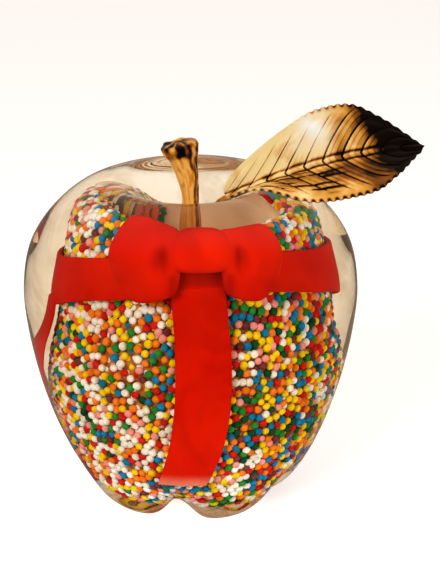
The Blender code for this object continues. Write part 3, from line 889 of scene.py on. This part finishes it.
# Painted shade on the band where it runs under the knot.
under_knot = []
for vertex in ribbon_band.data.vertices:
    spot = vertex.co - AXIS
    beside = smooth_step(abs(spot.x - 2.0 * MM), 4.2 * MM, 6.4 * MM) if spot.y < 0 else 1.0
    under_knot.append(
        UNDER_KNOT_DARK * (1.0 - beside) * smooth_step(spot.z, 61.0 * MM, 63.5 * MM))
store(ribbon_band, "painted_shade", under_knot)
as_made(ribbon_band, "red_band", red_ribbon, "red_ribbon", "ribbon_band")

# %% Ribbon strips
# Node, turn from the front in degrees, width in mm, sway, and how far it bows out in mm.
STRIPS = [
    ("ribbon_front", 1.8, 11.4, 1.0, 0.0),
    ("ribbon_right", 152.0, 9.5, 0.0, 0.4),
    ("ribbon_left", -98.0, 9.5, 0.0, 2.4),
]
STRIP_FOOT = 13.0 * MM
TUCKED_UNDER = 2.0 * MM
TOP_LIFT = 0.45 * MM


def make_strip(node, turn, width, sway, stand_off):
    top = BAND_HEIGHT - BAND_WIDTH / 2 + TUCKED_UNDER
    start = math.radians(turn) * PARCEL_RADIUS
    deselect()
    bpy.ops.mesh.primitive_grid_add(x_subdivisions=14, y_subdivisions=70, size=1.0)
    strip = bpy.context.object

    def laid(point):
        down = 0.5 - point.y
        drift = sway * MM * (1.6 * math.sin(0.9 * math.pi * down) - 4.2 * down ** 3)
        along = start + point.x * width * MM + drift
        round_by = along / PARCEL_RADIUS
        on_band = top + PARCEL_RADIUS * (
            BAND_ROLL * math.sin(round_by) + (BAND_LEAN - PARCEL_LEAN) * math.cos(round_by))
        height = on_band + (STRIP_FOOT - on_band) * down
        crown = RIBBON_CROWN * math.cos(math.pi * point.x)
        out = RIBBON_GAP + crown + stand_off * MM * math.sin(math.pi * down) ** 1.5
        out += TOP_LIFT * (1.0 - smooth_step(down, 0.03, 0.20))
        return on_parcel(along, height, out)

    reshape(strip, laid)
    clean(strip)
    centre = AXIS + Vector((PARCEL_SHIFT, 0, 35 * MM))
    facing = sum(p.normal.dot(p.center - centre) for p in strip.data.polygons)
    if facing < 0:
        pick(strip)
        bpy.ops.object.mode_set(mode="EDIT")
        bpy.ops.mesh.select_all(action="SELECT")
        bpy.ops.mesh.flip_normals()
        bpy.ops.object.mode_set(mode="OBJECT")
    pick(strip)
    modify(strip, "SOLIDIFY", thickness=RIBBON_THICK, offset=1.0)
    modify(strip, "BEVEL", width=0.35 * MM, segments=3, limit_method="ANGLE",
           angle_limit=math.radians(50))
    pale_from, pale_to = STRIP_FOOT - 1.0 * MM, STRIP_FOOT + 3.5 * MM
    store(strip, "pale", [0.8 * (1.0 - smooth_step(vertex.co.z, pale_from, pale_to))
                          for vertex in strip.data.vertices])
    as_made(strip, node.replace("ribbon", "red_strip"), red_ribbon, "red_ribbon", node)


for row in STRIPS:
    make_strip(*row)

# %% Bow loops
BOW_OUT = 1.9 * MM
BOW_Z = 67.7 * MM
BOW_HALF_HEIGHT = 8.9 * MM
BOW_WAIST = 6.4 * MM
BOW_HALF_DEPTH = 2.4 * MM
BOW_DRAPE = 6.0 * MM
BOW_LEFT_END = -17.2 * MM
BOW_RIGHT_END = 18.3 * MM
LOOP_THIN = 0.62
LOOP_SQUARE = 4.0
LOOP_SLOPE = 0.5
LEFT_LIFT = 0.06
RIGHT_LIFT = -0.13
ROUND_NEAR = 0.10
ROUND_FAR = 0.52
CREASE_DEPTH = 2.4 * MM
CREASE_OUT = 1.9 * MM
CREASE_Z = 1.8 * MM
CREASE_HALF_WIDTH = 1.3 * MM
CREASE_HALF_HEIGHT = 2.8 * MM
KNOT_FROM = -4.4 * MM
KNOT_TO = 7.5 * MM
KNOT_Z = 71.0 * MM
KNOT_HALF_HEIGHT = 4.5 * MM
KNOT_HALF_DEPTH = 2.2 * MM
KNOT_BOXY = 3.6
KNOT_MIDDLE = (KNOT_FROM + KNOT_TO) / 2
KNOT_HALF_WIDTH = (KNOT_TO - KNOT_FROM) / 2


def round_front(along, out, height):
    """A place before the parcel: so far along from the front, so far off, and so high."""
    radius = PARCEL_RADIUS + out
    angle = along / PARCEL_RADIUS
    return AXIS + Vector((
        PARCEL_SHIFT + radius * math.sin(angle), -radius * math.cos(angle), height))


def make_loop(near, far):
    deselect()
    bpy.ops.mesh.primitive_uv_sphere_add(
        segments=96, ring_count=64, radius=1.0, rotation=(0.0, math.pi / 2, 0.0))
    loop = bpy.context.object
    bpy.ops.object.transform_apply(location=False, rotation=True, scale=False)

    def puffed(point):
        """A ball drawn out from the knot into a flat loop; t is the share of the way along."""
        t = (point.x + 1.0) / 2.0
        ring = math.hypot(point.y, point.z)
        side_y, side_z = (point.y / ring, point.z / ring) if ring > 1e-6 else (0.0, 0.0)
        upper, lower = max(0.0, side_z), max(0.0, -side_z)
        near_end = math.sqrt(max(0.0, 1.0 - (1.0 - min(1.0, t / ROUND_NEAR)) ** 2))
        power = 2.0 + LOOP_SQUARE * upper
        slope = 1.0 + LOOP_SLOPE * lower
        rounded = max(0.0, (t - ROUND_FAR) / (1.0 - ROUND_FAR))
        far_end = max(0.0, 1.0 - rounded ** power) ** (slope / power)
        closing = near_end * far_end
        opening = math.sin(min(1.0, t / (0.6 + 0.25 * upper)) * math.pi / 2)
        waist = BOW_WAIST + 1.0 * MM * upper
        lift = RIGHT_LIFT if far > near else LEFT_LIFT
        swell = BOW_HALF_HEIGHT * (1.0 + lift * upper)
        height = waist + (swell - waist) * opening
        half_depth = BOW_HALF_DEPTH * (LOOP_THIN + (1.0 - LOOP_THIN) * opening)
        rise = height * closing * side_z
        drape = BOW_DRAPE * max(0.0, rise / BOW_HALF_HEIGHT) ** 2
        along = near + (far - near) * t
        off_knot = abs(along - KNOT_MIDDLE) - KNOT_HALF_WIDTH
        crease = (hump(off_knot, CREASE_OUT, CREASE_HALF_WIDTH)
                  * hump(rise, CREASE_Z, CREASE_HALF_HEIGHT))
        dent = CREASE_DEPTH * crease * max(0.0, -side_y)
        out = BOW_OUT + half_depth * (1.0 - closing * side_y) - drape - dent
        return round_front(along, out, BOW_Z + rise)

    reshape(loop, puffed)
    clean(loop)
    return loop


# %% Bow knot, and the whole bow as one soft body
def make_knot():
    deselect()
    bpy.ops.mesh.primitive_uv_sphere_add(segments=96, ring_count=64, radius=1.0)
    knot = bpy.context.object

    def laid(point):
        """A ball pushed out towards its corners, and laid over the middle of the bow."""
        boxy = sum(abs(c) ** KNOT_BOXY for c in point) ** (-1.0 / KNOT_BOXY)
        rise = point.z * boxy * KNOT_HALF_HEIGHT
        drape = BOW_DRAPE * max(0.0, (KNOT_Z + rise - BOW_Z) / BOW_HALF_HEIGHT) ** 2
        out = BOW_OUT + 0.92 * KNOT_HALF_DEPTH * (1.0 - point.y * boxy) - drape
        along = KNOT_MIDDLE + point.x * boxy * KNOT_HALF_WIDTH
        return round_front(along, out, KNOT_Z + rise)

    reshape(knot, laid)
    clean(knot)
    return knot


BOW_VOXEL = 0.30 * MM
LOOP_INTO_KNOT = 2.0 * MM
# Painted shade beside the knot and under its corners.
BESIDE_KNOT_DARK = 0.62
CORNER_DARK = 0.45
bow = make_knot()
join(bow, make_loop(KNOT_FROM + LOOP_INTO_KNOT, BOW_LEFT_END),
     make_loop(KNOT_TO - LOOP_INTO_KNOT, BOW_RIGHT_END))
modify(bow, "REMESH", mode="VOXEL", voxel_size=BOW_VOXEL)
modify(bow, "SMOOTH", factor=0.5, iterations=10)


def painted_fold_shade(point):
    """How much painted shade a point of the bow takes: in the fold beside the knot, and under its
    corners.
    """
    spot = point - AXIS - Vector((PARCEL_SHIFT, 0, 0))
    along = math.atan2(spot.x, -spot.y) * PARCEL_RADIUS
    off_knot = abs(along - KNOT_MIDDLE) - KNOT_HALF_WIDTH
    beside = (hump(off_knot, 1.6 * MM, 1.2 * MM)
              * hump(spot.z - BOW_Z, 2.0 * MM, CREASE_HALF_HEIGHT))
    below_knot = KNOT_Z - KNOT_HALF_HEIGHT - spot.z
    corner = hump(off_knot, -0.6 * MM, 0.9 * MM) * smooth_step(below_knot, -0.8 * MM, 1.2 * MM)
    return min(1.0, BESIDE_KNOT_DARK * beside + CORNER_DARK * corner)


store(bow, "painted_shade", [painted_fold_shade(vertex.co) for vertex in bow.data.vertices])
as_made(bow, "red_bow", red_ribbon, "red_ribbon",
        "bow_knot", "bow_loop_left", "bow_loop_right")

# %% [markdown]
# ## The gilt stem
# The stem is turned like the apple, leaned to one side and flared into a rough cap. Grooves
# run down it: they are real dents, and a patina value is stored on every point, so that the
# finish is dark where the dents are deep. The same value paints shade down one side of the
# neck.

# %% Stem
STEM_OUTLINE = [
    (0.0, 88.9), (2.4, 88.7), (3.9, 88.3), (4.3, 87.4), (4.1, 86.3), (3.5, 85.0), (3.0, 82.8),
    (2.5, 79.8), (2.0, 76.0), (1.95, 73.0), (2.05, 70.0), (2.0, 66.0), (1.9, 61.5), (0.0, 61.3),
]
STEM_LEAN = -3.63 * MM
LEAN_HEIGHTS = (74 * MM, 95 * MM)
GROOVE_DEPTH = 0.16 * MM
CAP_SLANT = 0.20
CAP_HEIGHTS = (84 * MM, 86.5 * MM)
CAP_TOP = 89.15 * MM
CAP_ROUGH = 0.35 * MM
CAP_SWIRL = 0.55 * MM
CAP_DARK = 0.52
SHADED_SIDE_DARK = 0.45


def make_stem():
    stem = spun(smooth_outline(STEM_OUTLINE, 10), 120)
    patina_and_painted_light = []

    def leaning(point):
        """Lean the upright stem, press its grooves and crumple its cap."""
        lean = STEM_LEAN * smooth_step(point.z, *LEAN_HEIGHTS)
        cap = smooth_step(point.z, *CAP_HEIGHTS)
        angle = math.atan2(point.y, point.x)
        radius = math.hypot(point.x, point.y)
        on_side = smooth_step(radius, 0.6 * MM, 1.6 * MM)
        wander = 0.5 * noise.noise(Vector((0, 0, point.z * 180)))
        ridges = (0.5 * math.sin(9 * (angle + wander)) + 0.3 * math.sin(17 * angle + 2.0)
                  + 0.35 * noise.noise(Vector((point.x * 900, point.y * 900, point.z * 160))))
        wave = 1.0 + 0.05 * math.sin(5 * angle + 1.0) * smooth_step(
            point.z, 74 * MM, 78 * MM)
        dent = GROOVE_DEPTH * ridges * on_side * (1.0 - 0.4 * cap)
        rough = noise.noise(point * 700.0) * CAP_ROUGH * cap
        swirl = noise.noise(point * 420.0 + Vector((3, 1, 7))) * CAP_SWIRL * cap
        scale = wave + (dent + rough) / max(radius, 1.0 * MM)
        slant = CAP_SLANT * point.x * cap
        # Painted shade: one side of the neck is darkened.
        shaded_side = smooth_step(math.cos(angle + 0.30), 0.45, 0.95) * on_side * (1 - cap)
        dark = 0.04 - 0.32 * ridges * on_side + CAP_DARK * cap
        dark += SHADED_SIDE_DARK * shaded_side - 0.9 * (rough + swirl) / MM * cap
        patina_and_painted_light.append(within(dark))
        return AXIS + Vector((
            point.x * scale + lean, point.y * scale,
            min(point.z + slant + swirl * cap, CAP_TOP)))

    reshape(stem, leaning)
    store(stem, "patina_and_painted_light", patina_and_painted_light)
    as_made(stem, "gilt_stem", stem_gilt, "gilt", "stem")


make_stem()

# %% [markdown]
# ## The gilt leaf
# A flat grid becomes the leaf: its outline with small teeth, its fold and arch, and then the
# veins, which are pressed into the surface as real relief. Each vein leaves the midrib and
# leans towards the tip. The same rule gives the patina that darkens the grooves, and a painted
# shade on one side of each panel between the veins. Places on the leaf are shares: `along`
# runs from 0 at the stalk to 1 at the tip, and `across` from -1 at the lower edge, over 0 at
# the midrib, to 1 at the upper edge.

# %% Leaf
LEAF_LENGTH = 48.0 * MM
LEAF_HALF_WIDTH = 12.9 * MM
LEAF_OUTLINE = [
    (0.0, 0.20), (0.05, 0.38), (0.12, 0.51), (0.25, 0.70), (0.38, 0.86), (0.52, 1.0),
    (0.68, 0.99), (0.82, 0.67), (0.93, 0.27), (1.0, 0.0),
]
LEAF_THICK = 0.5 * MM
LEAF_ARCH = 4.7 * MM
LEAF_FOLD = math.radians(13.5)
LEAF_CURL = math.radians(48.0)
LEAF_NARROW = 0.15
CURL_FROM = 0.05
CURL_TO = 0.42
LEAF_BASE = AXIS + Vector((8.5, -6.5, 76.9)) * MM
LEAF_BANK = math.radians(40.0)
LEAF_RISE = math.radians(13.8)
LEAF_TURN = math.radians(4.7)
TEETH = 27
TOOTH = 0.42 * MM
VEIN_SPACES = 10.5
VEIN_LEAD = 0.24
VEIN_WIDTH = 0.046
VEIN_DARK = 0.90
RIB_WIDTH = 0.42 * MM
GUTTER_OFF = 1.0 * MM
GUTTER_WIDTH = 0.34 * MM
GUTTER_DARK = 0.62
leaf_edge = smooth_outline(LEAF_OUTLINE, 12, scale=1.0)
leaf_place = (Matrix.Translation(LEAF_BASE) @ Matrix.Rotation(LEAF_TURN, 4, "Z")
              @ Matrix.Rotation(-LEAF_RISE, 4, "Y") @ Matrix.Rotation(LEAF_BANK, 4, "X"))


def leaf_relief(along, across, half):
    """Height of the pressed relief, in metres, and how dark the leaf is, 0 to 1: patina in the
    grooves, and painted shade on one side of each panel.
    """
    side = abs(across)
    phase = (along - VEIN_LEAD * side ** 1.25 - 0.02) * VEIN_SPACES
    number = math.floor(phase)
    share = phase - number
    reach = 0.62 + 0.22 * noise.noise(Vector((3.7 * number, across / side if side else 1, 0)))
    off = min(share, 1 - share)
    fade = (1.0 - smooth_step(side, reach, reach + 0.25)) * smooth_step(1 - along, 0.0, 0.10)
    groove = hump(off, 0.0, VEIN_WIDTH) * fade
    lip = hump(off, 2.2 * VEIN_WIDTH, VEIN_WIDTH) * fade
    pillow = math.sin(math.pi * share) * fade
    rib = hump(side * half, 0.0, RIB_WIDTH)
    gutter = hump(side * half, GUTTER_OFF, GUTTER_WIDTH)
    height = 0.42 * pillow + 0.12 * lip - 0.26 * groove + 0.40 * rib - 0.20 * gutter
    # Painted shade on one side of each panel between the veins, stronger towards the tip.
    shaded = smooth_step(share, 0.58, 0.98) * fade * (0.04 + 0.34 * along)
    faint = smooth_step(side, 0.2, 0.7) * (1.0 - smooth_step(along, 0.35, 0.6))
    third = 3.0 * phase - math.floor(3.0 * phase)
    hairs = hump(min(third, 1 - third), 0.0, 0.10) * fade * smooth_step(along, 0.2, 0.6)
    dark = VEIN_DARK * groove * (1.0 - 0.5 * faint) + GUTTER_DARK * gutter
    dark += shaded + 0.26 * hairs - 0.14 * lip
    return height * MM, dark


def toothed(along, across):
    """1 where the edge has teeth: all along the lower edge, and on the upper one's far half."""
    return smooth_step(along, 0.30, 0.55) if across > 0.0 else 1.0


def arch(along):
    return LEAF_ARCH * math.sin(math.pi * along ** 1.05)


def leaf_surface(along, across):
    """The place of a point on the leaf, lying flat, and how dark its relief makes it."""
    half = LEAF_HALF_WIDTH * read_curve(leaf_edge, along)
    wave = 0.5 + 0.5 * math.sin(2 * math.pi * TEETH * along)
    tooth = (TOOTH * (wave ** 0.7 - 0.5) * smooth_step(half, 0.0, 2.0 * MM)
             * toothed(along, across))
    half_toothed = half + tooth * smooth_step(abs(across), 0.86, 1.0)
    base = 1.0 - smooth_step(along, CURL_FROM, CURL_TO) if across < 0.0 else 0.0
    reach = across * half_toothed * (1.0 - LEAF_NARROW * base)
    fold = LEAF_FOLD + LEAF_CURL * base
    relief, dark = leaf_relief(along, across, half)
    rise = abs(reach) * math.sin(fold)
    return Vector((along * LEAF_LENGTH, reach * math.cos(fold),
                   arch(along) + rise + relief)), dark


# %% Patina and painted light of the leaf
TIP_DARK = 0.95
FAR_HALF_DARK = 0.27
LOWER_HALF_DARK = 0.42
STREAK_DARK = 2.4
RIB_DARK = 0.9
CLOUD_DARK = 0.22
NOTCH_DARK = 0.6
HIGHLIGHT_ALONG, HIGHLIGHT_ACROSS = 0.47, 0.66
HIGHLIGHT_LENGTH, HIGHLIGHT_WIDTH = 0.08, 0.28


def leaf_patina_and_painted_light(along, across, place):
    """How dark the leaf is apart from its relief, by patina, painted shade and a painted dark
    reflection at the tip, and how strong its painted highlight is.
    """
    below = -across
    # Painted dark reflection at the tip.
    dark = TIP_DARK * smooth_step(along + 0.07 * across, 0.70, 0.86)
    # Painted shade over the far half and the lower half.
    dark += FAR_HALF_DARK * smooth_step(along, 0.42, 0.74)
    dark += (LOWER_HALF_DARK * smooth_step(below, 0.0, 0.3)
             * (1.0 - 0.6 * smooth_step(below, 0.5, 0.9)))
    streak = noise.noise(Vector((6.5 * along, 15.0 * across + 4.0 * along, 4.0)))
    # Painted shade in streaks over the curled lower base.
    curled = (smooth_step(below, 0.02, 0.25) * smooth_step(1.0 - below, 0.10, 0.35)
              * (1.0 - smooth_step(along, 0.45, 0.62)))
    dark += STREAK_DARK * curled * max(0.0, streak - 0.03)
    near_rib = hump(across, 0.0, 0.16) * smooth_step(1 - along, 0.25, 0.6)
    dark += RIB_DARK * near_rib * max(0.0, noise.noise(place * 190.0) + 0.05)
    dark += CLOUD_DARK * noise.noise(place * 120.0)
    between_teeth = 0.5 - 0.5 * math.sin(2 * math.pi * TEETH * along)
    dark += (NOTCH_DARK * between_teeth * toothed(along, across)
             * smooth_step(abs(across), 0.92, 0.99))
    # Painted highlight: a bright spot on the upper half.
    highlight_strength = (hump(along, HIGHLIGHT_ALONG, HIGHLIGHT_LENGTH)
              * hump(across, HIGHLIGHT_ACROSS, HIGHLIGHT_WIDTH))
    highlight_strength *= 1.15 + 0.9 * noise.noise(place * 260.0)
    return dark - 0.5 * highlight_strength, highlight_strength


# %% Leaf and its stalk
def make_leaf():
    deselect()
    bpy.ops.mesh.primitive_grid_add(x_subdivisions=300, y_subdivisions=110, size=1.0)
    leaf = bpy.context.object
    patina_and_painted_light, painted_highlight = [], []

    def pressed(point):
        along, across = point.x + 0.5, point.y * 2.0
        place, dark = leaf_surface(along, across)
        leaf_tone, highlight_strength = leaf_patina_and_painted_light(along, across, place)
        patina_and_painted_light.append(within(dark + leaf_tone))
        painted_highlight.append(within(highlight_strength))
        return leaf_place @ place

    reshape(leaf, pressed)
    store(leaf, "patina_and_painted_light", patina_and_painted_light)
    store(leaf, "painted_highlight", painted_highlight)
    pick(leaf)
    bpy.ops.object.mode_set(mode="EDIT")
    bpy.ops.mesh.select_all(action="SELECT")
    bpy.ops.mesh.remove_doubles(threshold=0.01 * MM)
    bpy.ops.object.mode_set(mode="OBJECT")
    modify(leaf, "SOLIDIFY", thickness=LEAF_THICK, offset=-1.0)
    return leaf


STALK_ROUTE = [
    (5.1, 0.2, 65.5), (5.1, 0.2, 68.0), (5.15, -0.1, 70.2), (5.6, -1.4, 72.7),
    (6.7, -3.7, 75.1), (7.9, -5.7, 76.6),
]
STALK_ON_LEAF = (0.03, 0.08, 0.14)
STALK_SUNK = 0.2 * MM
STALK_RADIUS = 0.85 * MM
STALK_TAPER = 0.35


def make_stalk():
    """A soft path out of the sugar and on under the midrib, made round."""
    route = [AXIS + Vector(step) * MM for step in STALK_ROUTE]
    route += [leaf_place @ Vector((along * LEAF_LENGTH, 0, arch(along) - STALK_SUNK))
              for along in STALK_ON_LEAF]
    deselect()
    bpy.ops.curve.primitive_nurbs_path_add()
    stalk = bpy.context.object
    spline = stalk.data.splines[0]
    spline.points.add(len(route) - len(spline.points))
    for point, place, share in zip(spline.points, route, np.linspace(0, 1, len(route))):
        point.co = (*place, 1.0)
        point.radius = 1.0 - STALK_TAPER * share
    spline.use_endpoint_u = True
    spline.order_u = 4
    stalk.data.bevel_depth = STALK_RADIUS
    stalk.data.bevel_resolution = 5
    stalk.data.resolution_u = 10
    stalk.data.use_fill_caps = True
    bpy.ops.object.convert(target="MESH")
    stalk = bpy.context.object
    clean(stalk)
    store(stalk, "patina_and_painted_light", [0.45 + 0.35 * noise.noise(v.co * 800) for v in stalk.data.vertices])
    return stalk


leaf = make_leaf()
join(leaf, make_stalk())
as_made(leaf, "gilt_leaf", leaf_gilt, "gilt", "leaf")
